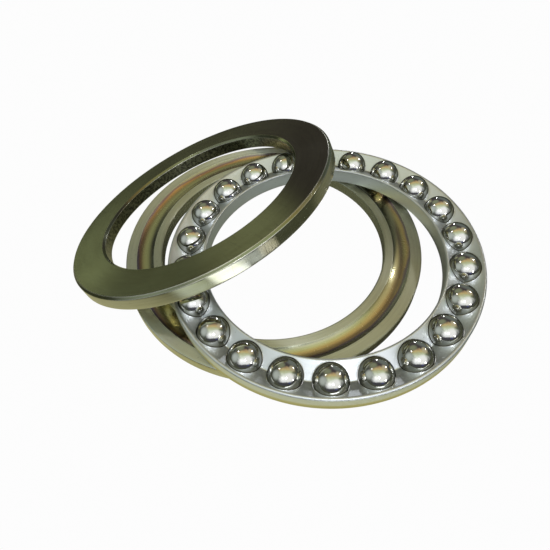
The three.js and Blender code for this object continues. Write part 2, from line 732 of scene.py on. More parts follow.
class Effects:
    """The effects that the finishes share, each made once."""

    def __init__(self) -> None:
        """Makes the four effects."""
        at = (0.0, 0.0, 0.0)
        self.lay_lines = effect(
            "lay_lines", {"Lay": at, "Along": 6.0, "Across": 9000.0}, ["Lines"], build_lay_lines
        )
        self.worn_edge = effect(
            "worn_edge",
            {"Vector": at, "Wear": 0.0, "Grain": EDGE_CHIPS.scale, "Amount": 1.0},
            ["Bare"],
            build_worn_edge,
        )
        self.oil_film = effect(
            "oil_film", {"Vector": at, "Lay": at}, ["Film", "Specks"], build_oil_film
        )
        self.fine_scratches = effect(
            "fine_scratches", {"Vector": at}, ["Scratches"], build_fine_scratches
        )

    def lines(self, graph: Graph, lay: Socket, along: float, across: float) -> Socket:
        """The lay lines with a stretch of their own along and across the ring."""
        return graph.group(self.lay_lines, Lay=lay, Along=along, Across=across).outputs["Lines"]

    def bare(self, graph: Graph, place: Socket, grain: float, amount: float) -> Socket:
        """Where edges are rubbed bright.

        Args:
            graph: The material's nodes.
            place: The surface point.
            grain: How fine the chips are.
            amount: How far the wear goes.

        Returns:
            1 on bare metal, 0 elsewhere.
        """
        wear = graph.attribute("wear", vector=False)
        node = graph.group(self.worn_edge, Vector=place, Wear=wear, Grain=grain, Amount=amount)
        return node.outputs["Bare"]

    def oil(self, graph: Graph, place: Socket, lay: Socket) -> tuple[Socket, Socket]:
        """The oil film's thickness and its specks."""
        node = graph.group(self.oil_film, Vector=place, Lay=lay)
        return node.outputs["Film"], node.outputs["Specks"]

    def scratches(self, graph: Graph, place: Socket) -> Socket:
        """The hairline marks."""
        return graph.group(self.fine_scratches, Vector=place).outputs["Scratches"]


def start_material(name: str) -> tuple[bpy.types.Material, Graph, bpy.types.Node]:
    """Makes an empty metal material.

    Args:
        name: The material's name.

    Returns:
        The material, its graph and its Principled shader, fully metallic.
    """
    material = bpy.data.materials.new(name)
    material.use_nodes = True
    material.node_tree.nodes.clear()
    graph = Graph(material.node_tree)
    shader = graph.add("ShaderNodeBsdfPrincipled")
    output = graph.add("ShaderNodeOutputMaterial")
    graph.feed(output.inputs["Surface"], shader.outputs[0])
    shader.inputs["Metallic"].default_value = 1.0
    return material, graph, shader


def across_grinding(graph: Graph, shader: bpy.types.Node, amount: float) -> None:
    """Draws highlights out across the grinding, which runs round the ring.

    Args:
        graph: The material's nodes.
        shader: Its Principled shader.
        amount: How strongly the highlights are drawn out, from 0 to 1.
    """
    tangent = graph.add("ShaderNodeTangent", direction_type="UV_MAP", uv_map="sweep")
    graph.feed(shader.inputs["Tangent"], tangent.outputs[0])
    shader.inputs["Anisotropic"].default_value = amount


# --------------------------------------------------------------------------------------------------
# Kinds of steel
# --------------------------------------------------------------------------------------------------


@dataclass(frozen=True)
class GroundSteel:
    """Ground bearing steel under a film of oil: what both washers are made of.

    Each face has a clean and an oiled colour. track holds the colours across the raceway groove:
    oil-film tints with painted reflection bands, dark at its inner edge and near its outer one.
    blotches says how much the bore is stained. A blend is the width in millimetres over which one
    face gives way to the next, and a range is the part of a noise that a change runs over, or the
    two values that it runs between.
    """

    name: str
    slot: str
    flat: Colour
    flat_oiled: Colour
    rim: Colour
    rim_oiled: Colour
    bore: Colour
    bore_stain: Colour
    bare: Colour
    track: Stops
    flat_roughness: float
    rim_roughness: float
    bore_roughness: float
    track_roughness: float
    edge_amount: float
    blotches: float
    bare_roughness: float = 0.4
    scratch_roughness: float = 0.06
    speck: Colour = (0.05, 0.045, 0.03)
    speck_amount: float = 0.3
    lay_along: float = 4.0
    lay_across: float = 4200.0
    wear_grain: float = 2200.0
    stain: Grain = Grain(760.0, 5.0, 0.75)
    stain_range: Range = (0.47, 0.55)
    oil_range: Range = (0.40, 0.60)
    tone_lines: Range = (0.3, 0.7)
    tone: Range = (0.90, 1.06)
    gloss_lines: Range = (0.25, 0.75)
    gloss: Range = (0.85, 1.2)
    rim_blend: Range = (0.25, 0.05)
    bore_blend: Range = (0.05, 0.25)
    track_blend: float = 0.15
    face_depth: Range = (1.4, 1.2)
    track_wander: float = 0.9
    track_smoothness: float = 0.9
    relief: float = 0.04
    relief_depth: float = 0.00002
    drawn_out: float = 0.8

    def faces(self, graph: Graph, ring: "Washer") -> tuple[Socket, Socket, Socket, Socket]:
        """Tells a washer's faces apart by the stored radius and height.

        Args:
            graph: The material's nodes.
            ring: The washer.

        Returns:
            Shares that are 1 on the rim, in the bore and in the groove, then the place across the
            groove, from 0 at its inner edge to 1 at its outer one.
        """
        section = graph.attribute("section")
        radius = graph.part(section, 0)
        height = graph.part(section, 1)
        rim_from, rim_to = (ring.outer_radius - depth for depth in self.rim_blend)
        bore_from, bore_to = (ring.bore_radius + depth for depth in self.bore_blend)
        face_from, face_to = (ring.thickness - depth for depth in self.face_depth)
        half = ring.groove_half_width
        on_rim = graph.span(radius, (rim_from * MM, rim_to * MM))
        on_bore = graph.span(radius, (bore_from * MM, bore_to * MM), (1.0, 0.0))
        from_track = graph.maths("SUBTRACT", radius, ring.pitch_radius * MM)
        from_track = graph.maths("ABSOLUTE", from_track)
        inside = graph.span(from_track, ((half - self.track_blend) * MM, half * MM), (1.0, 0.0))
        facing = graph.span(height, (face_from * MM, face_to * MM))
        across = graph.maths("SUBTRACT", radius, (ring.pitch_radius - half) * MM)
        across = graph.maths("DIVIDE", across, 2.0 * half * MM)
        return on_rim, on_bore, graph.maths("MULTIPLY", inside, facing), across

    def material(self, effects: Effects, ring: "Washer") -> bpy.types.Material:
        """Builds the finish for one washer.

        Args:
            effects: The shared effects.
            ring: The washer, for the radii and heights that part its faces.

        Returns:
            The material.
        """
        material, graph, shader = start_material(self.name)
        place = object_place(graph)
        lay = graph.attribute("lay")
        film, specks = effects.oil(graph, place, lay)
        lines = effects.lines(graph, lay, self.lay_along, self.lay_across)
        bare = effects.bare(graph, place, self.wear_grain, self.edge_amount)
        scratches = effects.scratches(graph, place)
        on_rim, on_bore, on_track, across = self.faces(graph, ring)

        oiled = graph.span(film, self.oil_range)
        flat = graph.mix(oiled, opaque(self.flat), opaque(self.flat_oiled))
        rim = graph.mix(oiled, opaque(self.rim), opaque(self.rim_oiled))
        stain = graph.span(graph.noise(place, self.stain), self.stain_range)
        stained = graph.maths("MULTIPLY", stain, self.blotches)
        bore = graph.mix(stained, opaque(self.bore), opaque(self.bore_stain))
        # The groove's colours: oil-film tints with painted reflection bands, shifted a little by
        # the film.
        wander = graph.maths("SUBTRACT", film, 0.5)
        wander = graph.maths("MULTIPLY", wander, self.track_wander)
        track = graph.ramp(graph.maths("ADD", across, wander, clamp=True), self.track)
        colour = graph.mix(on_bore, graph.mix(on_rim, flat, rim), bore)
        colour = graph.mix(on_track, colour, track)
        shade = graph.span(lines, self.tone_lines, self.tone)
        tone = graph.add("ShaderNodeCombineColor")
        for socket in tone.inputs:
            graph.feed(socket, shade)
        lined = graph.mix(1.0, colour, tone.outputs[0], "MULTIPLY")
        speckled = graph.maths("MULTIPLY", specks, self.speck_amount)
        lined = graph.mix(speckled, lined, opaque(self.speck))
        graph.feed(shader.inputs["Base Color"], graph.mix(bare, lined, opaque(self.bare)))

        rough = graph.mix(on_rim, grey(self.flat_roughness), grey(self.rim_roughness))
        rough = graph.mix(on_bore, rough, grey(self.bore_roughness))
        rough = graph.mix(on_track, rough, grey(self.track_roughness))
        rough = graph.mix(bare, rough, grey(self.bare_roughness))
        gloss = graph.span(lines, self.gloss_lines, self.gloss)
        uneven = graph.maths("MULTIPLY", graph.part(rough, 0), gloss)
        marks = graph.maths("MULTIPLY", scratches, self.scratch_roughness)
        graph.feed(shader.inputs["Roughness"], graph.maths("ADD", uneven, marks))
        smooth = graph.maths("MULTIPLY", on_track, self.track_smoothness)
        height = graph.maths("MULTIPLY", lines, graph.maths("SUBTRACT", 1.0, smooth))
        graph.feed(shader.inputs["Normal"], graph.bump(height, self.relief, self.relief_depth))
        across_grinding(graph, shader, self.drawn_out)
        return material


@dataclass(frozen=True)
class PressedSteel:
    """Satin pressed sheet, drawn and punched, with a painted reflection low on its outer wall.

    shelter is how far the sheet is darkened where it is seen mirrored, as it lies in the balls' own
    shade there; this is painted shade. reflection_heights and wall_blend are in millimetres, from
    the plane of the ball centres and from the middle of the outer wall. cut_blend is the distance
    in millimetres from the sheet's faces over which the painted shade on its cut edge begins.
    """

    name: str
    slot: str
    light: Colour
    shaded: Colour
    floor_reflection: Colour
    bare: Colour
    cut_shade: Colour
    shelter: float
    roughness: float
    speck: Colour = (0.12, 0.12, 0.1)
    speck_amount: float = 0.25
    lay_along: float = 9.0
    lay_across: float = 2600.0
    wear_grain: float = 1200.0
    edge_amount: float = 1.1
    satin: Grain = Grain(2200.0, 3.0, 0.6)
    shade_range: Range = (0.35, 0.65)
    reflection_heights: Range = (-1.0, -3.6)
    wall_blend: Range = (-0.2, 0.3)
    reflection_range: Range = (0.3, 0.6)
    reflection_amount: Range = (0.75, 1.0)
    cut_blend: Range = (0.14, 0.04)
    gloss_range: Range = (0.3, 0.7)
    satin_gloss: Range = (0.9, 1.12)
    line_gloss: Range = (0.9, 1.15)
    scratch_depth: float = 0.4
    relief: float = 0.10
    relief_depth: float = 0.00002

    def painted_floor_reflection(self, graph: Graph, section: Socket, film: Socket, wall: float) -> Socket:
        """Where a painted reflection of a yellowish floor lies low on the outer wall.

        It is a little stronger where the oil film is thicker.

        Args:
            graph: The material's nodes.
            section: The stored radius, height and lift.
            film: The oil's thickness.
            wall: The outer wall's radius in millimetres.

        Returns:
            The painted reflection's share.
        """
        wall_from, wall_to = ((wall + offset) * MM for offset in self.wall_blend)
        top, foot = (height * MM for height in self.reflection_heights)
        outside = graph.span(graph.part(section, 0), (wall_from, wall_to))
        low = graph.maths("MULTIPLY", outside, graph.span(graph.part(section, 1), (top, foot)))
        return graph.maths("MULTIPLY", low, graph.span(film, self.reflection_range, self.reflection_amount))

    def material(self, effects: Effects, cage: "Cage") -> bpy.types.Material:
        """Builds the finish for the cage.

        Args:
            effects: The shared effects.
            cage: The cage, for the radius of its wall and its sheet.

        Returns:
            The material.
        """
        material, graph, shader = start_material(self.name)
        place = object_place(graph)
        lay = graph.attribute("lay")
        section = graph.attribute("section")
        film, specks = effects.oil(graph, place, lay)
        lines = effects.lines(graph, lay, self.lay_along, self.lay_across)
        bare = effects.bare(graph, place, self.wear_grain, self.edge_amount)
        scratches = effects.scratches(graph, place)
        satin = graph.noise(place, self.satin)

        shade = graph.span(film, self.shade_range)
        colour = graph.mix(shade, opaque(self.light), opaque(self.shaded))
        # Painted reflection: a yellowish floor mirrored low on the outer wall, a little stronger
        # with more oil.
        painted_floor_reflection = self.painted_floor_reflection(graph, section, film, cage.outer_wall)
        colour = graph.mix(painted_floor_reflection, colour, opaque(self.floor_reflection))
        speckled = graph.maths("MULTIPLY", specks, self.speck_amount)
        colour = graph.mix(speckled, colour, opaque(self.speck))
        # Painted shade: the sheet's cut edges, round each pocket and at the walls' feet, are
        # coloured dark, as the gaps there lie in shade.
        lift = graph.maths("ABSOLUTE", graph.part(section, 2))
        inner, outer = ((cage.sheet / 2.0 - depth) * MM for depth in self.cut_blend)
        on_cut_shade = graph.span(lift, (inner, outer), (1.0, 0.0))
        colour = graph.mix(on_cut_shade, colour, opaque(self.cut_shade))
        colour = graph.mix(bare, colour, opaque(self.bare))
        # Painted shade: in reflections the sheet takes the same dark colour, as if it lay in the
        # balls' shade.
        mirrored = graph.add("ShaderNodeLightPath").outputs["Is Glossy Ray"]
        hidden = graph.maths("MULTIPLY", mirrored, self.shelter)
        graph.feed(shader.inputs["Base Color"], graph.mix(hidden, colour, opaque(self.cut_shade)))

        rough = graph.span(satin, self.gloss_range, self.satin_gloss)
        rough = graph.maths("MULTIPLY", rough, self.roughness)
        gloss = graph.span(lines, self.gloss_range, self.line_gloss)
        graph.feed(shader.inputs["Roughness"], graph.maths("MULTIPLY", rough, gloss))
        relief = graph.blend(satin, lines, 0.5, 0.5)
        marks = graph.maths("MULTIPLY", scratches, self.scratch_depth)
        height = graph.maths("SUBTRACT", relief, marks)
        graph.feed(shader.inputs["Normal"], graph.bump(height, self.relief, self.relief_depth))
        return material


@dataclass(frozen=True)
class PolishedSteel:
    """Lapped and polished balls with hairline marks and a trace of oil.

    edge is the colour that the mirror image keeps at a glancing angle.
    """

    name: str
    slot: str
    bright: Colour
    oiled: Colour
    edge: float
    roughness: float
    smudges: Grain = Grain(210.0, 4.0, 0.6)
    oil_range: Range = (0.4, 0.65)
    smudge_range: Range = (0.4, 0.75)
    smudged: float = 2.2
    scratch_roughness: float = 0.06
    relief: float = 0.05
    relief_depth: float = 0.00001

    def material(self, effects: Effects) -> bpy.types.Material:
        """Builds the finish for every ball.

        Args:
            effects: The shared effects.

        Returns:
            The material.
        """
        material, graph, shader = start_material(self.name)
        place = object_place(graph)
        shader.inputs["Specular Tint"].default_value = grey(self.edge)
        film, _ = effects.oil(graph, place, place)
        scratches = effects.scratches(graph, place)
        oiled = graph.span(film, self.oil_range)
        colour = graph.mix(oiled, opaque(self.bright), opaque(self.oiled))
        graph.feed(shader.inputs["Base Color"], colour)
        smudges = graph.noise(place, self.smudges)
        dullest = self.smudged * self.roughness
        rough = graph.span(smudges, self.smudge_range, (self.roughness, dullest))
        marks = graph.maths("MULTIPLY", scratches, self.scratch_roughness)
        graph.feed(shader.inputs["Roughness"], graph.maths("ADD", rough, marks))
        normal = graph.bump(scratches, self.relief, self.relief_depth)
        graph.feed(shader.inputs["Normal"], normal)
        return material


# --------------------------------------------------------------------------------------------------
# Washers
# --------------------------------------------------------------------------------------------------


class Facing(Enum):
    """Which way a washer's raceway looks along its own axis, from its back face."""

    ALONG_AXIS = 1
    AGAINST_AXIS = -1


@dataclass
class Washer:
    """A grooved washer, turned from one section. Lengths are in millimetres."""

    name: str
    seat: Seat
    facing: Facing
    bore_radius: float
    finish: GroundSteel
    outer_radius: float = 67.5
    pitch_radius: float = 58.75
    thickness: float = 6.84
    groove_radius: float = 7.287
    groove_half_width: float = 3.83
    back_chamfer: float = 1.0
    face_chamfer: float = 0.5
    edge_rounding: float = 0.16
    wear_reach: float = 0.30
    segments: int = 384
    spacing: float = 0.42
    groove_corner: int = 6

    def corners(self) -> list[Corner]:
        """The section's corners, anticlockwise from the back of the bore.

        Returns:
            The corners. The groove runs from number groove_corner to the one after it.
        """
        soft = self.edge_rounding
        top = self.thickness
        return [
            Corner(self.bore_radius, self.back_chamfer, soft, wear=0.55),
            Corner(self.bore_radius + self.back_chamfer, 0.0, soft, wear=0.45),
            Corner(self.outer_radius - self.back_chamfer, 0.0, soft, wear=1.0),
            Corner(self.outer_radius, self.back_chamfer, soft, wear=0.5),
            Corner(self.outer_radius, top - self.face_chamfer, soft, wear=0.5),
            Corner(self.outer_radius - self.face_chamfer, top, soft, wear=0.7),
            Corner(self.pitch_radius + self.groove_half_width, top),
            Corner(self.pitch_radius - self.groove_half_width, top),
            Corner(self.bore_radius + self.face_chamfer, top, soft, wear=0.7),
            Corner(self.bore_radius, top - self.face_chamfer, soft, wear=0.35),
        ]

    def groove(self, steps: int = 31) -> np.ndarray:
        """The groove's arc from its outer edge to its inner one.

        The arc's centre stands over the ball circle, so that its ends meet the face: radius is the
        ball circle plus the groove radius times the sine of the angle, and height is the centre's
        less the groove radius times the cosine.

        Args:
            steps: Points on the arc.

        Returns:
            Points of shape (steps, 2).
        """
        reach = math.asin(self.groove_half_width / self.groove_radius)
        angle = np.linspace(reach, -reach, steps)
        centre = self.thickness + self.groove_radius * math.cos(reach)
        radius = self.pitch_radius + self.groove_radius * np.sin(angle)
        return np.column_stack([radius, centre - self.groove_radius * np.cos(angle)])

    def outline(self) -> np.ndarray:
        """Joins the rounded corners and the groove into the closed section.

        Returns:
            Points of shape (n, 2), in millimetres.
        """
        corners = self.corners()
        runs = []
        for index, corner in enumerate(corners):
            before = corners[index - 1].point
            after = corners[(index + 1) % len(corners)].point
            runs.append(rounded(before, corner, after))
        runs[self.groove_corner : self.groove_corner + 2] = [self.groove()]
        return respace(np.concatenate(runs), self.spacing, closed=True)

    def surface(self) -> Surface:
        """Turns the section about the axis.

        A vertex at angle a of a section point (radius, height) stands at (radius cos a,
        radius sin a, height), with the height negated where the raceway looks against the axis.

        Returns:
            The washer's closed surface.
        """
        outline = self.outline()
        angle = np.linspace(0.0, FULL_TURN, self.segments, endpoint=False)
        radius = outline[:, 0][None, :]
        height = np.broadcast_to(outline[:, 1], (self.segments, len(outline)))
        local = np.stack(
            [
                radius * np.cos(angle)[:, None],
                radius * np.sin(angle)[:, None],
                height * self.facing.value,
            ],
            axis=-1,
        ).reshape(-1, 3)
        along = arc_length(outline)
        sharp = np.array([corner.point for corner in self.corners()])
        rubbed = np.array([corner.wear for corner in self.corners()])
        gap = np.linalg.norm(outline[:, None, :] - sharp[None, :, :], axis=-1)
        wear = (np.clip(1.0 - gap / self.wear_reach, 0.0, 1.0) * rubbed).max(axis=1)
        quads = grid_quads(self.segments, len(outline), True, True)
        sweep = self.sweep(outline)
        if self.facing is Facing.AGAINST_AXIS:
            quads = quads[:, ::-1]
            sweep = sweep[:, ::-1]
        shape = (self.segments, len(outline))
        lay = np.stack(
            [
                np.broadcast_to(np.cos(angle)[:, None], shape),
                np.broadcast_to(np.sin(angle)[:, None], shape),
                np.broadcast_to(along * MM, shape),
            ],
            axis=-1,
        ).reshape(-1, 3)
        section = np.tile(np.column_stack([outline, 0.0 * along]) * MM, (self.segments, 1))
        placed = self.seat.place(local * MM)
        return Surface(placed, quads, lay, section, np.tile(wear, self.segments), sweep)

    def sweep(self, outline: np.ndarray) -> np.ndarray:
        """The UV of every quad's corners: distance along the closed section, share of the turn.

        Args:
            outline: The closed section.

        Returns:
            Values of shape (m, 4, 2), in the order of the grid's quads.
        """
        closed = arc_length(np.vstack([outline, outline[0]])) / self.outer_radius
        share = np.arange(self.segments + 1) / self.segments
        here, after = closed[:-1][None, :], closed[1:][None, :]
        start, end = share[:-1][:, None], share[1:][:, None]
        corners = [(here, start), (here, end), (after, end), (after, start)]
        pairs = [np.stack(np.broadcast_arrays(u, v), axis=-1) for u, v in corners]
        return np.stack(pairs, axis=2).reshape(-1, 4, 2)

    def build(self, effects: Effects) -> bpy.types.Object:
        """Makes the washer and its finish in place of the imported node.

        Args:
            effects: The shared effects.

        Returns:
            The washer's object.
        """
        material = self.finish.material(effects, self)
        piece = self.surface().to_object(f"{self.name}_ground", self.name, material)
        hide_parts(self.name)
        return piece


# --------------------------------------------------------------------------------------------------
# Cage
# --------------------------------------------------------------------------------------------------


@dataclass
class Cage:
    """A one-piece cage pressed from sheet into an M section, with a round pocket for each ball.

    Radii are from the bearing's axis and heights from the plane of the ball centres, both to the
    middle of the sheet, in millimetres. The steps are how finely each stretch of the sheet is
    divided, and a crowding above 1 gathers the web's grid lines at the crease or at the pocket's
    edge.
    """

    seat: Seat
    finish: PressedSteel
    first_ball: float
    ball_count: int = 22
    pitch_radius: float = 58.75
    inner_wall: float = 51.35
    outer_wall: float = 66.65
    inner_bottom: float = -4.6
    outer_bottom: float = -5.0
    crest: float = 2.45
    valley: float = -2.0
    sheet: float = 0.9
    inner_bend: float = 0.55
    outer_bend: float = 1.0
    crease_bend: float = 0.8
    pocket_radius: float = 6.95
    edge_rounding: float = 0.16
    side_steps: int = 20
    end_steps: int = 12
    upper_steps: int = 10
    lower_steps: int = 4
    bend_steps: int = 7
    wall_steps: int = 4
    rounding_steps: int = 4
    line_spacing: float = 0.05
    crease_crowding: float = 1.3
    edge_crowding: float = 1.15
    worn_share: float = 0.05
    name: str = "cage"

    def __post_init__(self) -> None:
        """Works out the sheet's middle line once: places, distances along it and its normals."""
        corners = [
            Corner(self.inner_wall, self.inner_bottom),
            Corner(self.inner_wall, self.crest, self.inner_bend),
            Corner(self.pitch_radius, self.valley, self.crease_bend),
            Corner(self.outer_wall, self.crest, self.outer_bend),
            Corner(self.outer_wall, self.outer_bottom),
        ]
        line = respace(round_corners(corners, closed=False), self.line_spacing, closed=False)
        self.line = line
        self.along = arc_length(line)
        slope = np.gradient(line, self.along, axis=0)
        slope /= np.linalg.norm(slope, axis=1)[:, None]
        self.normal = np.column_stack([-slope[:, 1], slope[:, 0]])
        self.crease = float(np.interp(self.pitch_radius, line[:, 0], self.along))

    @property
    def half_pitch(self) -> float:
        """Half the angle from one ball to the next."""
        return math.pi / self.ball_count

    def half_opening(self, along: np.ndarray) -> np.ndarray:
        """Half the angle that the pocket takes up at a distance along the sheet.

        The pocket's edge is as far from the ball's centre as the pocket radius. For a sheet point
        at radius r and height h, at angle a from the ball, that distance squared is
        r^2 + p^2 + h^2 - 2 r p cos a, where p is the ball circle's radius, which gives cos a.

        Args:
            along: Distances along the sheet's middle line.

        Returns:
            The half angle, 0 where the pocket doesn't reach.
        """
        radius = np.interp(along, self.along, self.line[:, 0])
        height = np.interp(along, self.along, self.line[:, 1])
        reach = radius**2 + self.pitch_radius**2 + height**2 - self.pocket_radius**2
        return np.arccos(np.clip(reach / (2.0 * radius * self.pitch_radius), -1.0, 1.0))

    def pocket_ends(self) -> tuple[float, float]:
        """Where the pocket starts and ends along the sheet, on the line through the ball."""
        inside = self.along[self.half_opening(self.along) > 0.0]
        return float(inside[0]), float(inside[-1])

    def sheet_point(self, angle: np.ndarray, along: np.ndarray, lift: np.ndarray) -> Surface:
        """Places points on or off the sheet's middle surface.

        A point is the middle line's (radius, height) at its distance along, plus the lift times the
        line's normal there, turned to its angle about the axis.

        Args:
            angle: Angle about the axis.
            along: Distance along the sheet's middle line.
            lift: Distance off the middle surface, upwards and outwards positive.

        Returns:
            A surface with no quads yet.
        """
        angle, along, lift = (a.ravel() for a in np.broadcast_arrays(angle, along, lift))
        radius = np.interp(along, self.along, self.line[:, 0])
        height = np.interp(along, self.along, self.line[:, 1])
        radius = radius + lift * np.interp(along, self.along, self.normal[:, 0])
        height = height + lift * np.interp(along, self.along, self.normal[:, 1])
        local = np.column_stack([radius * np.cos(angle), radius * np.sin(angle), height])
        lay = np.column_stack([np.cos(angle), np.sin(angle), along * MM])
        section = np.column_stack([radius, height, lift]) * MM
        wear = np.zeros(len(angle))
        return Surface(self.seat.place(local * MM), np.zeros((0, 4), int), lay, section, wear)

    def edge_stations(self, upper: np.ndarray, lower: np.ndarray) -> tuple[np.ndarray, ...]:
        """Goes from the upper side of the sheet round its cut edge to the under side.

        The edge's corners are rounded: inset is the rounding times 1 - sin b and lift is half the
        sheet less the rounding times 1 - cos b, for b from 0 to a quarter turn.

        Args:
            upper: Shares of the way from the edge to the far end on the upper side, ending in 1.
            lower: The same on the under side.

        Returns:
            For each station, its inset from the edge in millimetres, its share of the way to the
            far end, and its lift.
        """
        half = self.sheet / 2.0
        b = np.linspace(0.0, math.pi / 2.0, self.rounding_steps)
        inset = self.edge_rounding * (1.0 - np.sin(b))
        lift = half - self.edge_rounding * (1.0 - np.cos(b))
        above, under = np.full(len(upper), half), np.full(len(lower), -half)
        first = np.full(len(upper), self.edge_rounding)
        last = np.full(len(lower), self.edge_rounding)
        insets = np.concatenate([first, inset, inset[::-1], last])
        shares = np.concatenate([upper[::-1], 0.0 * b, 0.0 * b, lower])
        lifts = np.concatenate([above, lift, -lift[::-1], under])
        return insets, shares, lifts

    def web(self) -> Surface:
        """The sheet round one pocket, for every ball.

        Each station's point is the ray's start plus the station's way along it times the ray, in
        angle and distance along the sheet, lifted off the sheet's middle by the station's lift. The
        stations run from the upper side round the cut edge to the under side.

        Returns:
            The webs of all the balls, side by side.
        """
        border_angle, border_along, edge_angle, edge_along = self.rays()
        upper = np.linspace(0.0, 1.0, self.upper_steps + 1)[1:] ** self.edge_crowding
        lower = np.linspace(0.0, 1.0, self.lower_steps + 1)[1:]
        insets, shares, lifts = self.edge_stations(upper, lower)
        across = border_angle - edge_angle
        down = border_along - edge_along
        start = insets[None, :] / np.hypot(across * self.pitch_radius, down)[:, None]
        way = start + (1.0 - start) * shares[None, :]
        angle = edge_angle[:, None] + across[:, None] * way
        along = edge_along[:, None] + down[:, None] * way
        quads = grid_quads(len(across), len(lifts), True, False)[:, ::-1]
        rubbed = np.where(lifts > 0.0, np.clip(1.0 - shares / self.worn_share, 0.0, 1.0), 0.0)
        wear = np.tile(rubbed, len(across))
        webs = []
        for index in range(self.ball_count):
            centre = self.first_ball + 2.0 * self.half_pitch * index
            web = self.sheet_point(centre + angle, along, np.broadcast_to(lifts, angle.shape))
            web.quads = quads
            web.wear = wear
            webs.append(web)
        return join(webs)

    def rays(self) -> tuple[np.ndarray, ...]:
        """The closed list of rays round one pocket.

        A ray starts on the pocket's edge and ends on the border of the ball's share of the ring,
        which is a rectangle in angle and distance along the sheet. On the sides of the rectangle
        the ray ends at the half pitch, and on its ends at the first and last distance. A turn t
        round the ball gives the start: its distance along is the crease plus sin t of the way to
        the pocket's end, and its angle is the pocket's half opening there, with the sign of cos t.

        Returns:
            The border's angles and distances along, then the edge's angles and distances along.
        """
        first, last = self.pocket_ends()
        low, high = self.web_ends()
        side = np.linspace(-1.0, 1.0, 2 * self.side_steps, endpoint=False)
        end = np.linspace(1.0, -1.0, 2 * self.end_steps, endpoint=False)
        spread = np.sign(side) * np.abs(side) ** self.crease_crowding
        whole_side, whole_end = np.ones_like(side), np.ones_like(end)
        border_angle = np.concatenate([whole_side, end, -whole_side, -end]) * self.half_pitch
        share = np.concatenate([spread, whole_end, -spread, -whole_end])
        eighth = math.pi / 4.0
        turn = np.concatenate(
            [
                side * eighth,
                2.0 * eighth - end * eighth,
                4.0 * eighth + side * eighth,
                6.0 * eighth - end * eighth,
            ]
        )
        border_reach = np.where(share > 0, high - self.crease, self.crease - low)
        border_along = self.crease + border_reach * share
        rise = np.sin(turn)
        edge_reach = np.where(rise > 0, last - self.crease, self.crease - first)
        edge_along = self.crease + edge_reach * rise
        edge_angle = np.sign(np.cos(turn)) * self.half_opening(edge_along)
        edge_angle[np.abs(np.cos(turn)) < ALMOST_ZERO] = 0.0
        return border_angle, border_along, edge_angle, edge_along

    def web_ends(self) -> tuple[float, float]:
        """Where the webs give way to the bends, as distances along the sheet.

        A bend starts its own length away from the crest's corner, on the straight line from the
        crest to the valley, so its radius is the wall's plus or less that length's share.

        Returns:
            The inner and the outer distance.
        """
        rise = self.crest - self.valley
        inner_run = self.pitch_radius - self.inner_wall
        outer_run = self.outer_wall - self.pitch_radius
        inner = self.inner_wall + self.inner_bend * inner_run / math.hypot(inner_run, rise)
        outer = self.outer_wall - self.outer_bend * outer_run / math.hypot(outer_run, rise)
        places = np.interp([inner, outer], self.line[:, 0], self.along)
        return float(places[0]), float(places[1])

    def wall(self, edge: float, top: float, meets: float, is_outer: bool) -> Surface:
        """One of the two walls with its bend, from the webs down, round its lower edge and back.

        Args:
            edge: Distance along the sheet of the wall's lower edge.
            top: Distance along the sheet where the wall's bend starts.
            meets: Distance along the sheet where the webs end.
            is_outer: Whether this is the outer wall.

        Returns:
            The wall, all the way round.
        """
        across = np.linspace(-1.0, 1.0, 2 * self.end_steps, endpoint=False) * self.half_pitch
        centres = self.first_ball + 2.0 * self.half_pitch * np.arange(self.ball_count)
        angle = (centres[:, None] + across[None, :]).ravel()
        towards = 1.0 if meets > edge else -1.0
        begin = edge + towards * self.edge_rounding
        straight = np.linspace(begin, top, self.wall_steps)[1:]
        curved = np.linspace(top, meets, self.bend_steps + 1)[1:]
        far = (np.concatenate([straight, curved]) - begin) / (meets - begin)
        insets, shares, lifts = self.edge_stations(far, far)
        start = edge + towards * insets
        along = start + (meets - start) * shares
        ring = self.sheet_point(angle[:, None], along[None, :], lifts[None, :])
        quads = grid_quads(len(angle), len(along), True, False)
        ring.quads = quads[:, ::-1] if is_outer else quads
        return ring

    def build(self, effects: Effects) -> bpy.types.Object:
        """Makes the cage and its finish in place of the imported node.

        Args:
            effects: The shared effects.

        Returns:
            The cage's object.
        """
        inner_end, outer_end = self.web_ends()
        foot = float(self.along[-1])
        inner_top = self.crest - self.inner_bottom - self.inner_bend
        outer_top = foot - (self.crest - self.outer_bottom - self.outer_bend)
        inner = self.wall(0.0, inner_top, inner_end, is_outer=False)
        outer = self.wall(foot, outer_top, outer_end, is_outer=True)
        surface = join([self.web(), inner, outer]).welded()
        piece = surface.to_object("cage_pressed", self.name, self.finish.material(effects, self))
        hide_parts(self.name)
        return piece


# --------------------------------------------------------------------------------------------------
# Balls
# --------------------------------------------------------------------------------------------------


